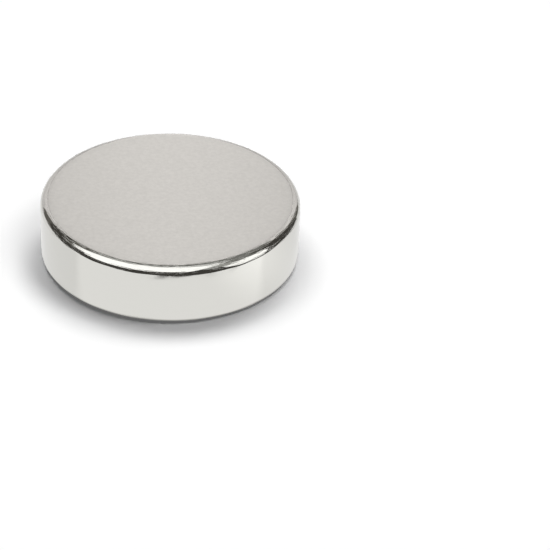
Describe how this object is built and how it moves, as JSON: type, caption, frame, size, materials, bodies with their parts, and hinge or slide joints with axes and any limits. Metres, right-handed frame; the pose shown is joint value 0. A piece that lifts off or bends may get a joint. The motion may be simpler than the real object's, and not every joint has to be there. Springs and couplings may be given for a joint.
{
  "type": "disc magnet",
  "caption": "Flat round permanent magnet with rounded edges, nickel plated; it grips steel with either face or sits in a bored pocket.",
  "frame": {"origin": "middle of the pole face that the magnet lies on", "axes": "+Z along the magnet's own axis, out of the upper pole face; the disc is round, so +X and +Y are free"},
  "size_m": [0.02, 0.02, 0.005],
  "materials": {
    "nickel_plate": "bright nickel plate: satin pole faces from flat grinding, mirror-bright rim and tumbled edges"
  },
  "bodies": {
    "root": {"magnet": "nickel_plate"}
  },
  "joints": []
}
